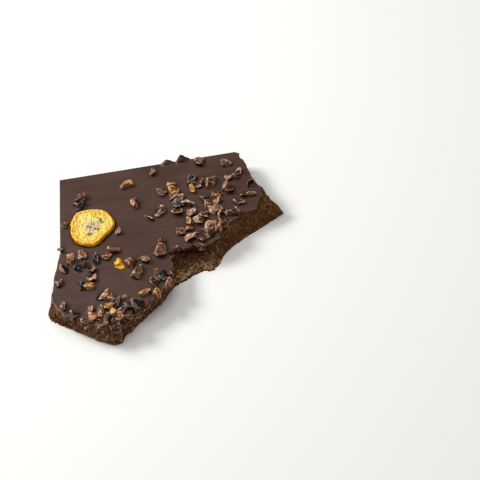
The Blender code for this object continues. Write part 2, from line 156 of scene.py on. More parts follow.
FLAKE_ODDS = 0.3  # how often another nib is a flat flake that leans
FLAKE_HEIGHT, FLAKE_LEAN, FLAKE_RISE = 0.7, 2.0, 0.4  # its height and lean, beside a plain nib's, and rise
GOLDEN_ANGLE = math.radians(137.5)
NIB_SEED = 41

# Nibs that show in the breaks: the corner that each comes after, the share of the way to the next, and
# the height.
BREAK_NIBS = [
    (10, 0.5, 7.8), (11, 0.4, 8.0), (12, 0.5, 7.2), (13, 0.3, 7.8), (13, 0.8, 6.8), (14, 0.4, 7.8),
    (15, 0.6, 8.0), (16, 0.3, 7.4), (16, 0.8, 8.4), (17, 0.2, 7.0), (17, 0.55, 8.3), (17, 0.9, 6.6),
    (18, 0.2, 8.0), (18, 0.5, 6.4), (18, 0.8, 8.2), (19, 0.2, 7.4), (19, 0.6, 8.2), (19, 0.9, 5.4),
    (20, 0.2, 7.2), (20, 0.5, 8.4), (20, 0.7, 5.6), (20, 0.9, 7.8), (21, 0.2, 6.6), (21, 0.5, 8.2),
    (21, 0.8, 6.2), (22, 0.2, 8.0), (22, 0.5, 6.6), (22, 0.9, 8.2), (23, 0.5, 7.8), (24, 0.6, 8.0),
]
BREAK_NIB_LENGTH = (3.3, 5.1)
BREAK_NIB_WIDTH_SHARE, BREAK_NIB_HEIGHT_SHARE = 0.75, 0.6
BREAK_NIB_SUNK = 0.2  # how far the middle of each lies inside the break, as a share of its length
BREAK_NIB_LIFT = 0.42  # how much of the painted shade at a nib's foot they are spared, where 1 is a nib that stands clear of the top

# The places of the blackest husks and of the golden nibs, and how near a nib has to lie to be one.
BLACK_HUSKS = [
    (9.5, -17.4), (15.1, -48.3), (8.2, -50.0), (9.0, -59.8), (29.4, -75.2), (32.0, -74.3), (43.6, -62.8),
    (49.1, -26.5), (59.5, -11.6), (61.5, -25.2), (72.0, -31.6), (67.8, -39.6), (21.4, -79.4),
]
BLACK_REACH = 2.2
GOLDEN_NIBS = [
    (49.9, -16.4), (57.3, -17.5), (55.6, -23.6), (65.6, -45.3), (66.3, -36.2), (11.8, -60.8),
    (18.6, -74.0), (23.0, -75.6), (34.4, -69.2), (39.1, -70.7),
]
GOLDEN_REACH = 2.0
NIB_VOXEL = 0.067  # the mesh spacing of a nib's model, which is about one unit long
NIB_FACET_ANGLE = math.radians(24)  # edges sharper than this stay crisp

TOP_SWELLS = ((0.10, 13.0), (0.03, 4.0))  # the depths and sizes of the poured top's slight swells
NIB_FOOT_RISE = 0.26  # how high the chocolate climbs round a nib

PEEL_PLACE = (24.8, -52.6)
PEEL_SIZE = (6.0, 4.2, 3.2)
PEEL_TURN = (0.1, 0.0, 2.0)
BUBBLE = (26.5, -69.4, 2.6, 0.9)  # x, y, width and height
BUBBLE_PALENESS = 0.6  # how much it takes of the colour of the breaks

# Splashes of chocolate on the tray's rim: left, peak, right, reach past the back wall and height.
RIM_SPLASHES = [(44.8, 47.4, 51.0, 0.7, 1.9), (51.4, 53.8, 58.2, 1.0, 3.2)]
SPLASH_ROOT = 1.0  # how deep each goes on in the slab

# The studio: each lamp's place and size in metres and its power, and the camera in degrees and
# millimetres.
LAMPS = [
    ("key", (-0.48, 0.28, 0.48), 0.26, 4.7),
    ("overhead", (0.05, 0.05, 0.8), 0.7, 2.6),
]
ROOM_LIGHT = 0.29
CAMERA_ELEVATION, CAMERA_ROLL, CAMERA_YAW = 50.0, 12.0, 3.9
CAMERA_AIM = (74.278, -41.815)
CAMERA_DISTANCE = 555.0
CAMERA_LENS, CAMERA_SENSOR = 100.0, 36.0


def place(x, y, z):
    """A point in millimetres from the foot of the tray corner, as metres in the part's frame."""
    return (Vector((x, y, z)) - MIDDLE) * MM


# Modelling helpers.


def only(piece):
    """Selects that piece alone and makes it the active one."""
    bpy.ops.object.select_all(action="DESELECT")
    piece.select_set(True)
    bpy.context.view_layer.objects.active = piece


def new_piece(name):
    """The object that the last operator added, under its own name."""
    piece = bpy.context.object
    piece.name = name
    piece.data.name = name
    return piece


def modify(piece, kind, **settings):
    """Adds a modifier with those settings to the piece and applies it."""
    only(piece)
    modifier = piece.modifiers.new(kind.title(), kind)
    for setting, value in settings.items():
        setattr(modifier, setting, value)
    bpy.ops.object.modifier_apply(modifier=modifier.name)


def relief(name, kind, size_mm, **settings):
    """A texture for a Displace modifier, with features of that size."""
    texture = bpy.data.textures.new(name, kind)
    texture.noise_scale = size_mm * MM
    for setting, value in settings.items():
        setattr(texture, setting, value)
    return texture


def face_outwards(piece):
    """Merges the piece's doubles and turns all its faces outwards."""
    only(piece)
    bpy.ops.object.mode_set(mode="EDIT")
    bpy.ops.mesh.select_all(action="SELECT")
    bpy.ops.mesh.remove_doubles(threshold=1e-6)
    bpy.ops.mesh.normals_make_consistent(inside=False)
    bpy.ops.object.mode_set(mode="OBJECT")


def move_points(piece, rule):
    """Moves each vertex to where the rule puts it, given its place and its normal."""
    moved = []
    for vertex in piece.data.vertices:
        moved.extend(rule(vertex.co.copy(), vertex.normal.copy()))
    piece.data.vertices.foreach_set("co", moved)
    piece.data.update()


def smooth_step(low, high, value):
    """0 up to low, 1 from high on, and a soft ramp in between; low may be above high."""
    share = min(1.0, max(0.0, (value - low) / (high - low)))
    return share * share * (3.0 - 2.0 * share)


def set_attribute(mesh, name, values):
    """Stores one number for each vertex."""
    attribute = mesh.attributes.new(name, "FLOAT", "POINT")
    attribute.data.foreach_set("value", values)


def mean_of_neighbours(mesh, places):
    """For each vertex, the middle of the places of those that its edges lead to."""
    totals = [Vector() for _ in places]
    links = [0] * len(places)
    for edge in mesh.edges:
        one, other = edge.vertices
        totals[one] += places[other]
        totals[other] += places[one]
        links[one] += 1
        links[other] += 1
    return [total / max(1, count) for total, count in zip(totals, links)]


def hand_over(piece, node, finish):
    """Gives the finished piece its material and body, and hides the source's node that it stands for."""
    piece.data.materials.clear()
    piece.data.materials.append(finish)
    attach(piece, "root")
    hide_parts(node)


# The chocolate.


def wall_stations(step_mm):
    """The shard's outline at that spacing: top point, foot point, scoop, ledge, crag and facing."""
    found = []
    for index, here in enumerate(CORNERS):
        there = CORNERS[(index + 1) % len(CORNERS)]
        steps = max(1, round(math.dist(here[:2], there[:2]) / step_mm))
        found.extend(station_after(index, step / steps) for step in range(steps))
    return found


def station_after(index, share):
    """The station at that share of the way from a corner to the next."""
    here, there = CORNERS[index], CORNERS[(index + 1) % len(CORNERS)]
    row = [a + (b - a) * share for a, b in zip(here, there)]
    crag = 0.0 if index in TRAY_WALLS else row[6]
    along = Vector(there[0:2]) + Vector(there[2:4]) - Vector(here[0:2]) - Vector(here[2:4])
    outward = Vector((-along.y, along.x)).normalized()
    return Vector(row[0:2]), Vector(row[2:4]), row[4], row[5], crag, outward


def way_out(lean, ledge):
    """The share of the way from top to foot at that share of the drop, by way of the ledge."""
    step = LEDGE_STEP * smooth_step(LEDGE_FROM, LEDGE_TO, lean)
    rest = (1.0 - LEDGE_STEP) * max(0.0, (lean - LEDGE_TO) / (1.0 - LEDGE_TO))
    return lean + ledge * (step + rest - lean)


def wall_point(station, height):
    """The point of the wall at that station and height, crags and all."""
    top, foot, scoop, ledge, crag, outward = station
    lean = 1.0 - height / THICKNESS
    crumble = CRAG_AT_FOOT + (1.0 - CRAG_AT_FOOT) * height / THICKNESS
    middle = top.lerp(foot, way_out(lean, ledge))
    here = Vector((middle.x, middle.y, height))
    out = noise.noise(here / COARSE_CRAG_SIZE) * COARSE_CRAG
    out += noise.noise(here / FINE_CRAG_SIZE + Vector((7, 3, 5))) * FINE_CRAG
    point = middle + outward * (crag * crumble * out - scoop * math.sin(math.pi * lean))
    return place(point.x, point.y, height)


def slice_radius(angle):
    """The candied slice's own uneven radius in that direction, in millimetres."""
    radius = SLICE_RADIUS
    for direction, depth, half_width in SLICE_RIM_BUMPS:
        away = (math.degrees(angle) - direction + 180.0) % 360.0 - 180.0
        radius += depth * math.exp(-((away / half_width) ** 2))
    return radius


def clear_of_slice(x, y, half_length):
    """The place pushed away from the slice, if a nib of that half length would touch it."""
    aside = Vector((x - SLICE_CENTRE[0], y - SLICE_CENTRE[1]))
    room = slice_radius(math.atan2(aside.y, aside.x)) + GAP + half_length
    if aside.length < room:
        aside.length = room
    return SLICE_CENTRE[0] + aside.x, SLICE_CENTRE[1] + aside.y


def sprinkle():
    """Every nib as its place, its length, width and height, and its turn, tilt and roll."""
    draw = random.Random(NIB_SEED)
    nibs = []
    for x, y, reach, count, usual_length in NIB_HANDFULS:
        start = draw.uniform(0.0, 2.0 * math.pi)
        for index in range(count):
            angle = start + index * GOLDEN_ANGLE
            away = reach * math.sqrt((index + 0.5) / count)
            length = usual_length * draw.uniform(*NIB_LENGTH_SPREAD)
            width = length * draw.uniform(*NIB_WIDTH_SHARE)
            height = length * draw.uniform(*NIB_HEIGHT_SHARE)
            turn = (
                draw.uniform(-NIB_TILT, NIB_TILT),
                draw.uniform(-NIB_TILT, NIB_TILT),
                draw.uniform(0.0, 2.0 * math.pi),
            )
            spot = (x + away * math.cos(angle), y + away * math.sin(angle))
            nibs.append((clear_of_slice(*spot, length / 2.0), (length, width, height), turn))
    return nibs


def nibs_in_breaks():
    """Every nib that shows in a break as its place, its length, width and height, and its turn."""
    draw = random.Random(NIB_SEED + 5)
    nibs = []
    for index, share, height in BREAK_NIBS:
        station = station_after(index, share)
        length = draw.uniform(*BREAK_NIB_LENGTH)
        inward = -station[-1] * BREAK_NIB_SUNK * length * MM
        where = wall_point(station, height) + inward.to_3d()
        turn = [draw.uniform(0.0, 2.0 * math.pi) for _ in range(3)]
        size = (length, length * BREAK_NIB_WIDTH_SHARE, length * BREAK_NIB_HEIGHT_SHARE)
        nibs.append((where, size, turn))
    return nibs


def ringed_blank(name, count, rings):
    """A disc extruded up ring by ring, and for each vertex its station round it and its ring."""
    bpy.ops.object.select_all(action="DESELECT")
    bpy.ops.mesh.primitive_circle_add(vertices=count, radius=0.05, fill_type="NGON")
    piece = new_piece(name)
    bpy.ops.object.mode_set(mode="EDIT")
    bpy.ops.mesh.select_all(action="SELECT")
    for _ in range(rings):
        bpy.ops.mesh.extrude_region_move(TRANSFORM_OT_translate={"value": (0.0, 0.0, MM)})
    bpy.ops.object.mode_set(mode="OBJECT")
    spots = []
    for vertex in piece.data.vertices:
        turn = math.atan2(vertex.co.x, vertex.co.y) % math.tau
        spots.append((vertex, round(turn / math.tau * count) % count, round(vertex.co.z / MM)))
    return piece, spots


def splash(name, left, peak, right, reach, height):
    """A small wedge of chocolate that ran up the tray's rim and set there."""
    bpy.ops.object.select_all(action="DESELECT")
    bpy.ops.mesh.primitive_cube_add(size=1.0)
    piece = new_piece(name)
    # Its flanks slope on down to its root in the slab.
    low = THICKNESS - SPLASH_ROOT
    spread = 1.0 + SPLASH_ROOT / height
    left, right = peak + (left - peak) * spread, peak + (right - peak) * spread
    for vertex in piece.data.vertices:
        across, back, up = (share > 0.0 for share in vertex.co)
        if up:
            lift = height if back else height * 0.5
            x = peak + (0.2 if across else -0.2)
            vertex.co = place(x, reach if back else -1.2, THICKNESS + lift)
        else:
            vertex.co = place(right if across else left, 0.0 if back else -1.8, low)
    face_outwards(piece)
    return piece


def chip_plane():
    """A point of the chip's plane and the way that it faces."""
    first, second, low = (place(*corner) for corner in CHIP)
    facing = (second - first).cross(low - first).normalized()
    return first, facing if facing.z > 0.0 else -facing


def slab(stations):
    """The cast and broken slab, finely meshed, before its relief."""
    piece, spots = ringed_blank("chocolate_slab", len(stations), WALL_RINGS)
    for vertex, station, ring in spots:
        vertex.co = wall_point(stations[station], THICKNESS * ring / WALL_RINGS)
    chip, facing = chip_plane()
    bpy.ops.object.mode_set(mode="EDIT")
    bpy.ops.mesh.select_all(action="SELECT")
    bpy.ops.mesh.bisect(plane_co=chip, plane_no=facing, use_fill=True, clear_outer=True, threshold=1e-6)
    bpy.ops.object.mode_set(mode="OBJECT")
    face_outwards(piece)

    bed, spots = ringed_blank("slice_bed", BED_SIDES, 1)
    for vertex, station, ring in spots:
        angle = math.tau * station / BED_SIDES
        radius = slice_radius(angle) + BED_ROOM
        x, y = radius * math.cos(angle), radius * math.sin(angle)
        height = THICKNESS - BED_DEPTH + 3.0 * ring
        vertex.co = place(SLICE_CENTRE[0] + x, SLICE_CENTRE[1] + y, height)
    face_outwards(bed)
    modify(piece, "BOOLEAN", operation="DIFFERENCE", object=bed)
    bpy.data.objects.remove(bed)

    parts = [splash(f"rim_splash_{i}", *row) for i, row in enumerate(RIM_SPLASHES)]
    only(piece)
    for part in parts:
        part.select_set(True)
    bpy.ops.object.join()
    modify(piece, "REMESH", mode="VOXEL", voxel_size=GRAIN_SIZE * MM)
    return piece


def weigh_breaks(piece, stations):
    """Where the chocolate is broken, how rough it is there, and where painted shade deepens a break's
    colour.
    """
    points = [
        (wall_point(station, THICKNESS * ring / WALL_RINGS), station[4], station[3])
        for station in stations
        for ring in range(WALL_RINGS + 1)
    ]
    tree = kdtree.KDTree(len(points))
    for index, (point, _, _) in enumerate(points):
        tree.insert(point, index)
    tree.balance()
    bed = place(*SLICE_CENTRE, THICKNESS)
    bubble = place(*BUBBLE[:2], THICKNESS)
    chip, facing = chip_plane()
    group = piece.vertex_groups.new(name="broken")
    shares, painted_break_shade = [], []
    for vertex in piece.data.vertices:
        here, normal = vertex.co, vertex.normal
        height = here.z / MM
        # Broken is what tilts or lies below the poured top, apart from the flat underside.
        tilted = smooth_step(0.99, 0.955, normal.z)
        low = smooth_step(0.15, 0.6, THICKNESS - height)
        share = max(tilted, low) * smooth_step(-0.98, -0.9, normal.z)
        dark = 0.0
        if share > 0.0:
            _, index, _ = tree.find(here)
            _, crag, ledge = points[index]
            chipped = abs((here - chip).dot(facing)) < 0.2 * MM
            if chipped:
                crag = CHIP_CRAG
            in_bed = (here - bed).length < (SLICE_RADIUS + 1.8) * MM
            on_splash = here.y > place(0.0, 0.4, 0.0).y
            if in_bed or on_splash:
                share = 0.0
            if share * crag > 0.0:
                group.add([vertex.index], share * crag, "REPLACE")
            share *= smooth_step(0.0, 0.25, crag)
            # Painted shade on the recessed wall above a ledge and on smooth walls, which are partly a
            # deeper brown of their own; the chip gets it too.
            dark = share * max(ledge * smooth_step(1.8, 3.6, height), 0.8 * (1.0 - min(1.0, crag)))
            if chipped:
                dark = share * CHIP_PAINTED_SHADE
        if (here - bubble).length < BUBBLE[2] * 0.5 * MM:
            share = BUBBLE_PALENESS
        shares.append(share)
        painted_break_shade.append(dark)
    set_attribute(piece.data, "break_share", shares)
    set_attribute(piece.data, "painted_break_shade", painted_break_shade)


def rough_up_breaks(piece):
    """Breaks the cast surface up: blocky crags, then crumbs, then grains."""
    steps = [  # each relief, its depth in millimetres and its grey level that moves nothing
        (relief("crags", "VORONOI", 3.0, distance_metric="DISTANCE"), 1.1, 0.62),
        (relief("crumble", "CLOUDS", 1.6, noise_type="HARD_NOISE", noise_depth=2), 0.9, 0.6),
        (relief("grains", "VORONOI", 0.8), 0.2, 0.55),
    ]
    for texture, depth, level in steps:
        modify(
            piece,
            "DISPLACE",
            texture=texture,
            texture_coords="LOCAL",
            strength=depth * MM,
            mid_level=level,
            vertex_group="broken",
        )


def weigh_hollows(piece):
    """How sunken each point of the rough breaks is, for painted shade in hollows, less where it faces up,
    for painted light, and more under the break's painted shade.
    """
    smoothed = [vertex.co.copy() for vertex in piece.data.vertices]
    for _ in range(6):
        smoothed = mean_of_neighbours(piece.data, smoothed)
    hollows = []
    painted_break_shade = piece.data.attributes["painted_break_shade"].data
    for vertex, mean in zip(piece.data.vertices, smoothed):
        sunken = (mean - vertex.co).dot(vertex.normal) / MM
        level = smooth_step(0.35, 0.95, vertex.normal.z)
        dark = painted_break_shade[vertex.index].value
        steep = min(1.5, max(-1.5, sunken * 5.0))
        hollows.append(steep - 1.2 * level * (1.0 - dark) + dark)
    set_attribute(piece.data, "hollow", hollows)


def set_in_nibs(piece, nibs):
    """Lets the poured top swell slightly and rise up the nibs' feet, and paints contact shade round them
    and the slice.
    """
    tree = kdtree.KDTree(len(nibs))
    for index, ((x, y), _, _) in enumerate(nibs):
        tree.insert(place(x, y, THICKNESS), index)
    tree.balance()
    top = (THICKNESS - 0.12) * MM
    x, y, width, height = BUBBLE
    bubble = place(x, y, THICKNESS)
    slice_middle = place(*SLICE_CENTRE, THICKNESS)
    painted_contact_shade = []

    def swell(here, normal):
        aside = (here - slice_middle) / MM
        away = aside.to_2d().length - slice_radius(math.atan2(aside.y, aside.x))
        # Painted contact shade: a ring round the slice, and below, one round each nib.
        painted_contact_shade.append(1.6 * smooth_step(1.2, 0.3, away))
        if here.z < top or normal.z < 0.97:
            return here
        rise = sum(depth * noise.noise(here / (size * MM)) for depth, size in TOP_SWELLS)
        for _, index, away in tree.find_range(here, 4.2 * MM):
            reach = nibs[index][1][0] * 0.5
            rise += NIB_FOOT_RISE * math.exp(-((away / MM / reach) ** 2.0) * 1.3)
            painted_contact_shade[-1] = max(painted_contact_shade[-1], smooth_step(1.3, 0.8, away / MM / reach))
        away = (here - bubble).length / (width * 0.5 * MM)
        rise += height * math.sqrt(max(0.0, 1.0 - away * away))
        return Vector((here.x, here.y, here.z + rise * MM))

    move_points(piece, swell)
    set_attribute(piece.data, "painted_contact_shade", painted_contact_shade)


def keep_in_box(piece):
    """Presses the piece's few stray points back to the box of the source's solids."""
    move_points(piece, lambda here, _: [min(max(c, a), b) for c, a, b in zip(here, *CAD_BOX)])


# Nibs.


def cut_flat(draw, cuts, near, far, fill):
    """Breaks flat faces into the piece in edit mode, between near and far from its middle."""
    for _ in range(cuts):
        facing = Vector([draw.gauss(0.0, 1.0) for _ in range(3)]).normalized()
        bpy.ops.mesh.select_all(action="SELECT")
        bpy.ops.mesh.bisect(
            plane_co=facing * draw.uniform(near, far),
            plane_no=facing,
            use_fill=fill,
            clear_outer=True,
            threshold=1e-4,
        )


def broken_kernel(name, draw, cuts, scoops=(), rough=0.05):
    """A scrap of kernel: a ball broken with flat faces and hollowed by scoops of that size and reach."""
    bpy.ops.object.select_all(action="DESELECT")
    bpy.ops.mesh.primitive_ico_sphere_add(subdivisions=2, radius=0.56)
    piece = new_piece(name)
    bpy.ops.object.mode_set(mode="EDIT")
    cut_flat(draw, cuts, 0.20, 0.40, True)
    bpy.ops.object.mode_set(mode="OBJECT")
    for size, reach in scoops:
        facing = Vector((draw.uniform(-1.0, 1.0), draw.uniform(-1.0, 1.0), draw.uniform(0.3, 1.2)))
        bpy.ops.object.select_all(action="DESELECT")
        bpy.ops.mesh.primitive_ico_sphere_add(
            subdivisions=2, radius=size, location=facing.normalized() * (reach + size)
        )
        scoop = new_piece("scoop")
        scoop.scale = (draw.uniform(0.7, 1.4), draw.uniform(0.7, 1.4), draw.uniform(0.7, 1.1))
        modify(piece, "BOOLEAN", operation="DIFFERENCE", object=scoop)
        bpy.data.objects.remove(scoop)
    modify(piece, "REMESH", mode="VOXEL", voxel_size=NIB_VOXEL)
    weather(piece, draw, rough)
    return piece


def curled_husk(name, draw):
    """A curled scrap of thin shell with ragged edges, open above."""
    bpy.ops.object.select_all(action="DESELECT")
    bpy.ops.mesh.primitive_uv_sphere_add(segments=14, ring_count=9, radius=0.5)
    piece = new_piece(name)
    bpy.ops.object.mode_set(mode="EDIT")
    bpy.ops.mesh.select_all(action="SELECT")
    lean = Vector((draw.uniform(-1.0, 1.0), draw.uniform(-1.0, 1.0), 0.9)).normalized()
    bpy.ops.mesh.bisect(
        plane_co=lean * draw.uniform(-0.12, 0.08), plane_no=lean, clear_outer=True, threshold=1e-4
    )
    cut_flat(draw, 3, 0.24, 0.42, False)
    bpy.ops.object.mode_set(mode="OBJECT")
    shift = Vector((draw.uniform(-50.0, 50.0), 0.0, 0.0))
    move_points(piece, lambda here, _: here + noise.noise_vector(here * 3.0 + shift) * 0.12)
    modify(piece, "SOLIDIFY", thickness=0.11, offset=-1.0)
    modify(piece, "SUBSURF", subdivision_type="SIMPLE", levels=1, render_levels=1)
    weather(piece, draw, 0.03)
    return piece


def weather(piece, draw, depth):
    """Roughens a nib, and stores each face's own tone and, for each point, painted light on its edges and
    painted shade in its hollows.
    """
    shift = Vector([draw.uniform(-50.0, 50.0) for _ in range(3)])
    facets = [noise.noise(face.normal * 1.9 + shift) * 0.9 + 0.5 for face in piece.data.polygons]
    attribute = piece.data.attributes.new("facet", "FLOAT", "FACE")
    attribute.data.foreach_set("value", facets)

    def crumple(here, normal):
        spot = here + shift
        crease = 0.3 - abs(noise.noise(spot * 1.9)) - 0.3 * abs(noise.noise(spot * 4.6))
        return here + noise.noise_vector(spot * 1.9) * depth * 1.6 + normal * crease * depth * 2.4

    move_points(piece, crumple)
    # The model is stretched to one unit each way, so that a copy's scale is its size.
    low = [min(vertex.co[i] for vertex in piece.data.vertices) for i in range(3)]
    high = [max(vertex.co[i] for vertex in piece.data.vertices) for i in range(3)]
    move_points(piece, lambda here, _: [(c - a) / (b - a) - 0.5 for c, a, b in zip(here, low, high)])
    means = mean_of_neighbours(piece.data, [vertex.co.copy() for vertex in piece.data.vertices])
    # Painted light where a point stands out as an edge, and painted shade where it sinks in or faces
    # inwards.
    painted_ridge_light_hollow_shade = []
    for vertex, mean in zip(piece.data.vertices, means):
        here, normal = vertex.co, vertex.normal
        openness = min(1.0, here.length / 0.36) * (0.5 + 0.5 * normal.dot(here.normalized()))
        painted_ridge_light_hollow_shade.append((here - mean).dot(normal) * 42.0 + openness - 0.9)
    set_attribute(piece.data, "painted_ridge_light_hollow_shade", painted_ridge_light_hollow_shade)


def nib_kinds():
    """The models that the nibs are copied from: angular chunks, hollowed scraps and curled husks."""
    noise.seed_set(NIB_SEED)  # without it, noise vectors differ from run to run
    draw = random.Random(NIB_SEED + 7)
    return {
        "chunk": [broken_kernel(f"chunk_{i}", draw, 8, [(0.38, 0.3)]) for i in range(9)],
        "scrap": [broken_kernel(f"scrap_{i}", draw, 7, [(0.3, 0.24), (0.26, 0.32)]) for i in range(7)],
        "husk": [curled_husk(f"husk_{i}", draw) for i in range(8)],
    }


def copy_nib(model, where, size, turn, tone, clear_of_foot_shade):
    """A copy of the model at its place, with its tone and how far each point is spared the painted shade at
    its foot.
    """
    mesh = model.data.copy()
    scale = Matrix.Diagonal((*(side * MM for side in size), 1.0))
    mesh.transform(Matrix.Translation(where) @ Euler(turn).to_matrix().to_4x4() @ scale)
    set_attribute(mesh, "tone", [tone] * len(mesh.vertices))
    set_attribute(mesh, "lift", [clear_of_foot_shade(vertex.co) for vertex in mesh.vertices])
    copy = bpy.data.objects.new("nib", mesh)
    bpy.context.scene.collection.objects.link(copy)
    return copy


def clear_of_top(here):
    """How far a point stands clear of the poured top, from 0 to 1, which spares it the painted shade at a
    nib's foot.
    """
    return smooth_step(-0.1 * MM, 1.6 * MM, here.z - THICKNESS * MM)


def clear_of_break(_):
    """How far a nib in a break is spared the painted shade at a nib's foot, the same all over it."""
    return BREAK_NIB_LIFT


def scatter_nibs(nibs):
    """Copies a model to every nib's place and joins the brown kernels and the black husks apart."""
    kinds = nib_kinds()
    draw = random.Random(NIB_SEED + 2)
    heaps = {"cocoa_nibs": [], "cocoa_husks": []}
    for (x, y), (length, width, height), turn in nibs:
        golden = min(math.dist((x, y), spot) for spot in GOLDEN_NIBS) < GOLDEN_REACH
        black = min(math.dist((x, y), spot) for spot in BLACK_HUSKS) < BLACK_REACH and not golden
        tone = 1.0 if golden else draw.uniform(0.1, 0.8)
        shares = (1, 0, 0) if golden else (2, 3, 3) if black else (6, 4, 1)
        kind = draw.choices(("chunk", "scrap", "husk"), shares)[0]
        rise = NIB_SUNK_SHARE
        if kind == "husk":
            rise = HUSK_RISE
        elif draw.random() < FLAKE_ODDS:
            height *= FLAKE_HEIGHT
            turn = (turn[0] * FLAKE_LEAN, turn[1] * FLAKE_LEAN, turn[2])
            rise = FLAKE_RISE
        where = place(x, y, THICKNESS + rise * height)
        size = (length, width, height)
        copy = copy_nib(draw.choice(kinds[kind]), where, size, turn, tone, clear_of_top)
        heaps["cocoa_husks" if black else "cocoa_nibs"].append(copy)
    for where, size, turn in nibs_in_breaks():
        kind = draw.choices(("chunk", "scrap"), (3, 2))[0]
        tone = draw.uniform(0.1, 0.6)
        copy = copy_nib(draw.choice(kinds[kind]), where, size, turn, tone, clear_of_break)
        heaps["cocoa_nibs"].append(copy)
    for models in kinds.values():
        for model in models:
            bpy.data.objects.remove(model)
    made = {}
    for name, copies in heaps.items():
        only(copies[0])
        for copy in copies:
            copy.select_set(True)
        bpy.ops.object.join()
        made[name] = new_piece(name)
        bpy.ops.object.shade_smooth_by_angle(angle=NIB_FACET_ANGLE)
    return made


# The fruit.


def candied_slice():
    """The kumquat slice: rind, sugared pulp in cells, and a pitted pale core."""
    count, side_rings, top_rings = 200, 6, 40
    piece, spots = ringed_blank("kumquat_slice", count, side_rings + top_rings)
    pits = [  # each one's place from the slice's middle, and its width
        (3.1, 4.1, 0.7), (4.6, 1.4, 0.8), (4.0, 2.5, 0.7), (-1.6, 0.0, 0.5), (-0.3, -0.6, 0.5),
        (-1.5, -4.2, 0.8), (-0.3, -3.9, 0.6), (1.6, -1.8, 0.5), (2.7, -1.9, 0.5), (0.9, 1.0, 0.4),
    ]
    across = [0.0] * len(piece.data.vertices)
    pitted = [0.0] * len(piece.data.vertices)
    for vertex, station, ring in spots:
        angle = math.tau * station / count
        if ring <= side_rings:
            up = ring / side_rings
            share = 1.0 - SLICE_RIM_ROUNDING * (2.0 * up - 1.0) ** 4
            height = SLICE_HEIGHT * SLICE_EDGE_SHARE * up
        else:
            share = (1.0 - SLICE_RIM_ROUNDING) * (1.0 - (ring - side_rings) / (top_rings + 0.5))
            height = SLICE_HEIGHT * slice_profile(share)
        radius = slice_radius(angle) * share
        x, y = radius * math.cos(angle), radius * math.sin(angle)
        spot = Vector((x, y, height))
        hollow = 0.0
        if ring > side_rings:
            # The cut face has seven cells of pulp, lumps and grains of sugar, and pits.
            cells = abs(math.sin(angle * 3.5 + 0.5))
            inside = smooth_step(0.86, 0.7, share) * smooth_step(0.25, 0.42, share)
            height -= 0.22 * cells * inside
            height += 0.55 * noise.noise(spot / 2.4) * smooth_step(0.97, 0.8, share)
            height += 0.42 * noise.noise(spot / 0.9 + Vector((4, 4, 4)))
            for pit_x, pit_y, wide in pits:
                away = math.hypot(x - pit_x, y - pit_y) / wide
                hollow = max(hollow, math.exp(-(away**2) * 1.6))
            height -= 0.75 * hollow
        else:
            out = 0.30 * noise.noise(spot / 1.6) + 0.30 * up * noise.noise(spot / 0.7)
            x += math.cos(angle) * out
            y += math.sin(angle) * out
        height = min(max(height, 0.0), SLICE_HEIGHT)
        across[vertex.index] = share
        pitted[vertex.index] = hollow
        height += THICKNESS - SLICE_SUNK
        vertex.co = place(SLICE_CENTRE[0] + x, SLICE_CENTRE[1] + y, height)
    set_attribute(piece.data, "across", across)
    set_attribute(piece.data, "pitted", pitted)
    face_outwards(piece)
    only(piece)
    bpy.ops.object.shade_smooth()
    return piece


def slice_profile(share):
    """The height of the slice's cut face at that share of its radius, as a share of its height."""
    lip = math.exp(-(((share - 0.91) / 0.045) ** 2)) * 0.14
    crease = math.exp(-(((share - 0.82) / 0.03) ** 2)) * 0.07
    core = math.exp(-((share / 0.33) ** 2)) * 0.07
    edge = 0.10 * smooth_step(0.93, 0.965, share)
    return SLICE_EDGE_SHARE + lip - crease + core - edge


def peel_crumb():
    """A crumb of candied peel, knobbly with sugar."""
    draw = random.Random(NIB_SEED + 3)
    piece = broken_kernel("peel_crumb", draw, 5, rough=0.07)
    size = Matrix.Diagonal((*(side * MM for side in PEEL_SIZE), 1.0))
    where = place(*PEEL_PLACE, THICKNESS + NIB_SUNK_SHARE * PEEL_SIZE[2])
    turn = Euler(PEEL_TURN).to_matrix().to_4x4()
    piece.data.transform(Matrix.Translation(where) @ turn @ size)
    only(piece)
    bpy.ops.object.shade_smooth()
    return piece


# Finishes.


def colour(code):
    """An sRGB hex colour as linear values."""
    parts = [int(code[i : i + 2], 16) / 255.0 for i in (1, 3, 5)]
    return (*(c / 12.92 if c <= 0.04045 else ((c + 0.055) / 1.055) ** 2.4 for c in parts), 1.0)


def add_node(tree, kind, inputs=None, out=0, stops=(), **settings):
    """Adds a node with its settings and links, and gives back one of its outputs.

    The inputs go by name or number, and each is a value or another node's output. The stops are the
    positions and hex colours of a colour ramp.
    """
    node = tree.nodes.new("ShaderNode" + kind)
    for name, value in settings.items():
        setattr(node, name, value)
    for key, value in (inputs or {}).items():
        if isinstance(value, bpy.types.NodeSocket):
            tree.links.new(value, node.inputs[key])
        else:
            node.inputs[key].default_value = value
    if stops:
        band = node.color_ramp
        while len(band.elements) < len(stops):
            band.elements.new(0.5)
        for element, (position, code) in zip(band.elements, stops):
            element.position = position
            element.color = colour(code)
    return node.outputs[out]


def material(name, **constants):
    """A new material: its node tree, and its shader with those constants set on the sockets."""
    made = bpy.data.materials.new(name)
    made.use_nodes = True
    tree = made.node_tree
    shader = tree.nodes["Principled BSDF"]
    for key, value in constants.items():
        shader.inputs[key.replace("_", " ")].default_value = value
    return made, tree, shader


def per_mm(size_mm):
    """The scale of a noise on Object coordinates, in metres, whose features are of that size."""
    return 1.0 / (size_mm * MM)


# A Mix node's sockets for colours, which share their names with its others.
FACTOR, FIRST, SECOND, MIXED = 0, 6, 7, 2


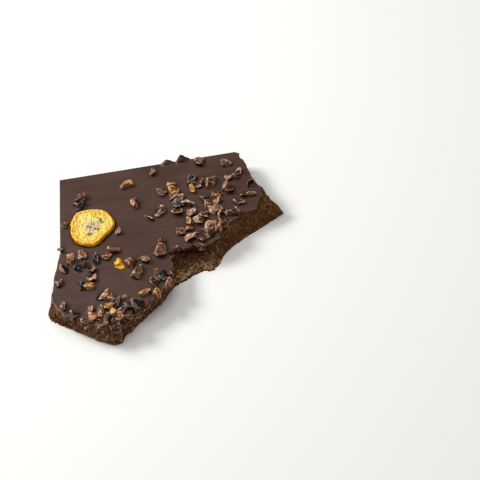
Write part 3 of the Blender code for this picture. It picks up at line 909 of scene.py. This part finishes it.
def tempered_chocolate():
    """Tempered dark chocolate: a satin poured face, and matt brown crumbly breaks."""
    made, tree, shader = material("tempered_dark_chocolate", IOR=1.5)
    where = add_node(tree, "TexCoord", out="Object")
    broken, hollow, painted_break_shade, painted_contact_shade = (
        add_node(tree, "Attribute", out="Fac", attribute_name=name)
        for name in ("break_share", "hollow", "painted_break_shade", "painted_contact_shade")
    )

    # The poured face has faint clouds, streaks along the way it was spread, and painted contact shade in
    # rings round the nibs and the slice.
    clouds = add_node(tree, "TexNoise", {"Vector": where, "Scale": per_mm(16.0), "Detail": 3.0})
    spread = {"Vector": where, "Rotation": (0.0, 0.0, 0.6), "Scale": (0.25, 1.6, 1.0)}
    turned = add_node(tree, "Mapping", spread)
    streaks = add_node(tree, "TexNoise", {"Vector": turned, "Scale": per_mm(5.0), "Detail": 4.0})
    cloudy = add_node(tree, "ValToRGB", {"Fac": clouds}, stops=[(0.3, "#3c251b"), (0.7, "#4a2f23")])
    streaky = add_node(tree, "ValToRGB", {"Fac": streaks}, stops=[(0.35, "#371f15"), (0.7, "#563828")])
    poured = {FACTOR: 0.35, FIRST: cloudy, SECOND: streaky}
    poured = add_node(tree, "Mix", poured, out=MIXED, data_type="RGBA")
    # Painted contact shade, in a near-black brown.
    ring = add_node(tree, "Math", {0: painted_contact_shade, 1: 0.6}, operation="MULTIPLY")
    poured = {FACTOR: ring, FIRST: poured, SECOND: colour("#23120a")}
    poured = add_node(tree, "Mix", poured, out=MIXED, data_type="RGBA")

    # The breaks are pale on their crumbs, with painted shade in their hollows and painted light where they
    # face up.
    crumbs = add_node(tree, "TexNoise", {"Vector": where, "Scale": per_mm(1.1), "Detail": 6.0})
    patches = add_node(tree, "TexNoise", {"Vector": where, "Scale": per_mm(6.0), "Detail": 2.0})
    shade = add_node(tree, "Math", {0: patches, 1: 0.3}, operation="MULTIPLY")
    shade = add_node(tree, "Math", {0: crumbs, 1: 0.7, 2: shade}, operation="MULTIPLY_ADD")
    shade = add_node(tree, "Math", {0: hollow, 1: -0.12, 2: shade}, operation="MULTIPLY_ADD")
    browns = [(0.26, "#301c0e"), (0.40, "#4e3019"), (0.50, "#654329"), (0.62, "#856242"), (0.78, "#b39471")]
    fresh = add_node(tree, "ValToRGB", {"Fac": shade}, stops=browns)
    # Painted shade: a flat brown over the recessed walls above ledges, the chip and smooth walls, the last
    # partly their own deeper brown.
    break_shade_share = add_node(tree, "Math", {0: painted_break_shade, 1: 0.4}, operation="MULTIPLY")
    fresh = {FACTOR: break_shade_share, FIRST: fresh, SECOND: colour("#543a25")}
    fresh = add_node(tree, "Mix", fresh, out=MIXED, data_type="RGBA")

    both = {FACTOR: broken, FIRST: poured, SECOND: fresh}
    tint = add_node(tree, "Mix", both, out=MIXED, data_type="RGBA")
    tree.links.new(tint, shader.inputs["Base Color"])
    satin = add_node(tree, "Math", {0: clouds, 1: 0.16, 2: 0.34}, operation="MULTIPLY_ADD")
    rough = add_node(tree, "Math", {0: broken, 1: 0.4, 2: satin}, operation="MULTIPLY_ADD")
    tree.links.new(rough, shader.inputs["Roughness"])
    shine = add_node(tree, "Math", {0: broken, 1: -0.3, 2: 0.34}, operation="MULTIPLY_ADD")
    tree.links.new(shine, shader.inputs["Specular IOR Level"])
    fine = add_node(tree, "TexNoise", {"Vector": where, "Scale": per_mm(0.6), "Detail": 3.0})
    skin = add_node(tree, "TexNoise", {"Vector": where, "Scale": per_mm(2.4), "Detail": 2.0})
    grain = add_node(tree, "Math", {0: fine, 1: broken}, operation="MULTIPLY")
    height = add_node(tree, "Math", {0: skin, 1: 0.16, 2: grain}, operation="MULTIPLY_ADD")
    bump = add_node(tree, "Bump", {"Height": height, "Strength": 0.8, "Distance": 0.45 * MM})
    tree.links.new(bump, shader.inputs["Normal"])
    return made


# From painted shade at a nib's foot and in its hollows to painted light on its broken edges.
KERNEL_BROWNS = [
    (0.08, "#1a0d06"), (0.26, "#331c0f"), (0.44, "#5c3a27"), (0.62, "#8c6049"), (0.80, "#bd9579"),
    (1.0, "#ecd3b6"),
]
HUSK_BLACKS = [(0.1, "#0e0a08"), (0.4, "#251d19"), (0.62, "#463b36"), (0.95, "#9c8f86")]


def roasted_nib(name, roughness, stops):
    """Roasted cocoa nib, cracked: brown kernel, with painted shade near the chocolate and painted light on
    its broken edges.
    """
    made, tree, shader = material(name, IOR=1.47, Roughness=roughness, Specular_IOR_Level=0.2)
    where = add_node(tree, "TexCoord", out="Object")
    tone, painted_ridge_light_hollow_shade, facet, lift = (
        add_node(tree, "Attribute", out="Fac", attribute_name=name)
        for name in ("tone", "painted_ridge_light_hollow_shade", "facet", "lift")
    )
    mottle = add_node(tree, "TexNoise", {"Vector": where, "Scale": per_mm(0.9), "Detail": 4.0})
    shade = add_node(tree, "Math", {0: mottle, 1: 0.5, 2: -0.47}, operation="MULTIPLY_ADD")
    # Painted light on edges, and painted shade in hollows and at the foot by the chocolate.
    for cause, weight in ((tone, 0.28), (facet, 0.5), (painted_ridge_light_hollow_shade, 0.5), (lift, 0.34)):
        shade = add_node(tree, "Math", {0: cause, 1: weight, 2: shade}, operation="MULTIPLY_ADD")
    brown = add_node(tree, "ValToRGB", {"Fac": shade}, stops=stops)
    tints = [(0.25, "#f2f4f6"), (0.5, "#ffffff"), (0.75, "#ffe6cd"), (0.95, "#f8e2b0")]
    gilt = add_node(tree, "ValToRGB", {"Fac": tone}, stops=tints)
    tinted = {FACTOR: 1.0, FIRST: brown, SECOND: gilt}
    tinted = add_node(tree, "Mix", tinted, out=MIXED, data_type="RGBA", blend_type="MULTIPLY")
    tree.links.new(tinted, shader.inputs["Base Color"])
    fine = add_node(tree, "TexNoise", {"Vector": where, "Scale": per_mm(0.4), "Detail": 3.0})
    bump = add_node(tree, "Bump", {"Height": fine, "Strength": 0.5, "Distance": 0.15 * MM})
    tree.links.new(bump, shader.inputs["Normal"])
    return made


def candied_fruit():
    """Candied kumquat: deep yellow rind, pale sugared pulp and a greyish spongy core."""
    made, tree, shader = material("candied_kumquat", IOR=1.45, Roughness=0.34, Subsurface_Weight=0.25)
    shader.inputs["Subsurface Radius"].default_value = (1.0, 0.6, 0.15)
    shader.inputs["Subsurface Scale"].default_value = 0.9 * MM
    where = add_node(tree, "TexCoord", out="Object")
    across = add_node(tree, "Attribute", out="Fac", attribute_name="across")
    pitted = add_node(tree, "Attribute", out="Fac", attribute_name="pitted")

    # Rings from the core to the rind, whose edges wander.
    wander = add_node(tree, "TexNoise", {"Vector": where, "Scale": per_mm(3.2), "Detail": 3.0})
    shifted = add_node(tree, "Math", {0: across, 1: 0.17}, operation="SUBTRACT")
    shifted = add_node(tree, "Math", {0: wander, 1: 0.34, 2: shifted}, operation="MULTIPLY_ADD")
    core_to_rind = [
        (0.20, "#c9b48f"), (0.32, "#dfc981"), (0.50, "#ead062"), (0.74, "#f0cd44"),
        (0.81, "#e0a01c"), (0.86, "#f3cb40"), (0.92, "#efc02c"), (0.99, "#dd9e12"),
    ]
    zones = add_node(tree, "ValToRGB", {"Fac": shifted}, stops=core_to_rind)

    # Sugar: amber flecks between its crystals, pale spots that are partly pale sugar and partly painted
    # glints, and clots of it.
    sugar = add_node(tree, "TexNoise", {"Vector": where, "Scale": per_mm(0.75), "Detail": 6.0})
    flecks = add_node(tree, "ValToRGB", {"Fac": sugar}, stops=[(0.36, "#b98a1c"), (0.5, "#ffffff")])
    tint = {FACTOR: 0.5, FIRST: zones, SECOND: flecks}
    tint = add_node(tree, "Mix", tint, out=MIXED, data_type="RGBA", blend_type="MULTIPLY")
    sugar_and_painted_glints = add_node(tree, "ValToRGB", {"Fac": sugar}, stops=[(0.6, "#000000"), (0.76, "#ffffff")])
    tint = {FACTOR: sugar_and_painted_glints, FIRST: tint, SECOND: colour("#f7e9b4")}
    tint = add_node(tree, "Mix", tint, out=MIXED, data_type="RGBA")
    clots = add_node(tree, "TexNoise", {"Vector": where, "Scale": per_mm(2.4), "Detail": 3.0})
    cream = add_node(tree, "ValToRGB", {"Fac": clots}, stops=[(0.5, "#000000"), (0.66, "#ffffff")])
    flesh = add_node(tree, "ValToRGB", {"Fac": across}, stops=[(0.8, "#808080"), (0.88, "#000000")])
    creamy = add_node(tree, "Math", {0: cream, 1: flesh}, operation="MULTIPLY")
    tint = {FACTOR: creamy, FIRST: tint, SECOND: colour("#f9ecac")}
    tint = add_node(tree, "Mix", tint, out=MIXED, data_type="RGBA")
    # Painted shade in the pits.
    tint = {FACTOR: pitted, FIRST: tint, SECOND: colour("#3c2d0d")}
    tint = add_node(tree, "Mix", tint, out=MIXED, data_type="RGBA")
    tree.links.new(tint, shader.inputs["Base Color"])
    bump = add_node(tree, "Bump", {"Height": sugar, "Strength": 0.7, "Distance": 0.35 * MM})
    tree.links.new(bump, shader.inputs["Normal"])
    return made


def candied_peel():
    """Candied peel: strong yellow with sugary pale flecks."""
    made, tree, shader = material("candied_peel", IOR=1.45, Roughness=0.3)
    where = add_node(tree, "TexCoord", out="Object")
    sugar = add_node(tree, "TexNoise", {"Vector": where, "Scale": per_mm(0.9), "Detail": 3.0})
    yellows = [(0.35, "#e89a04"), (0.55, "#f2bd10"), (0.72, "#fbe36a")]
    tint = add_node(tree, "ValToRGB", {"Fac": sugar}, stops=yellows)
    tree.links.new(tint, shader.inputs["Base Color"])
    bump = add_node(tree, "Bump", {"Height": sugar, "Strength": 1.0, "Distance": 0.8 * MM})
    tree.links.new(bump, shader.inputs["Normal"])
    return made


# Studio.


def studio():
    """White sweep, soft light from above and behind, and the camera at the photograph's angle."""
    bpy.ops.object.select_all(action="DESELECT")
    bpy.ops.mesh.primitive_plane_add(size=4.0)
    floor = new_piece("floor")
    made, _, shader = material("white_paper_sweep", Roughness=0.9)
    shader.inputs["Base Color"].default_value = colour("#f1f0ed")
    floor.data.materials.append(made)

    world = bpy.data.worlds.new("studio")
    bpy.context.scene.world = world
    world.use_nodes = True
    back = world.node_tree.nodes["Background"]
    back.inputs["Color"].default_value = (1.0, 0.99, 0.975, 1.0)
    back.inputs["Strength"].default_value = ROOM_LIGHT

    for name, where, size, power in LAMPS:
        lamp = bpy.data.lights.new(name, "AREA")
        lamp.size = size
        lamp.energy = power
        light = bpy.data.objects.new(name, lamp)
        light.location = where
        light.rotation_euler = (-Vector(where)).to_track_quat("-Z", "Y").to_euler()
        bpy.context.scene.collection.objects.link(light)

    angles = (CAMERA_ELEVATION, CAMERA_ROLL, CAMERA_YAW)
    elevation, roll, yaw = (math.radians(angle) for angle in angles)
    # The camera looks down along ahead; it is rolled by turning its two other axes round that.
    ahead = Vector((0.0, math.cos(elevation), -math.sin(elevation)))
    right = Vector((1.0, 0.0, 0.0))
    up = Vector((0.0, math.sin(elevation), math.cos(elevation)))
    across = math.cos(roll) * right - math.sin(roll) * up
    upright = math.sin(roll) * right + math.cos(roll) * up
    turn = Matrix.Rotation(yaw, 3, "Z")
    across, upright, ahead = turn @ across, turn @ upright, turn @ ahead
    lens = bpy.data.cameras.new("camera")
    lens.lens = CAMERA_LENS
    lens.sensor_width = CAMERA_SENSOR
    lens.clip_start = 0.01
    camera = bpy.data.objects.new("camera", lens)
    where = place(*CAMERA_AIM, 0.0) - ahead * CAMERA_DISTANCE * MM
    turned = Matrix((across, upright, -ahead)).transposed().to_4x4()
    camera.matrix_world = Matrix.Translation(where) @ turned
    bpy.context.scene.collection.objects.link(camera)
    bpy.context.scene.camera = camera
    bpy.context.scene.view_settings.view_transform = "Standard"
    bpy.context.scene.view_settings.look = "None"


def main():
    """Makes the shard's pieces and the studio."""
    nibs = sprinkle()
    stations = wall_stations(STATION_STEP)
    chocolate = slab(stations)
    weigh_breaks(chocolate, stations)
    rough_up_breaks(chocolate)
    set_in_nibs(chocolate, nibs)
    keep_in_box(chocolate)
    only(chocolate)
    bpy.ops.object.shade_smooth()
    modify(chocolate, "DECIMATE", ratio=KEPT_TRIANGLES)
    weigh_hollows(chocolate)
    hand_over(chocolate, "chocolate_shard", tempered_chocolate())

    heaps = scatter_nibs(nibs)
    kernel = roasted_nib("roasted_cocoa_kernel", 0.42, KERNEL_BROWNS)
    husk = roasted_nib("roasted_cocoa_husk", 0.4, HUSK_BLACKS)
    hand_over(heaps["cocoa_nibs"], "chocolate_shard", kernel)
    hand_over(heaps["cocoa_husks"], "chocolate_shard", husk)
    for heap in heaps.values():
        keep_in_box(heap)
    hand_over(peel_crumb(), "chocolate_shard", candied_peel())
    hand_over(candied_slice(), "candied_slice", candied_fruit())

    studio()


main()
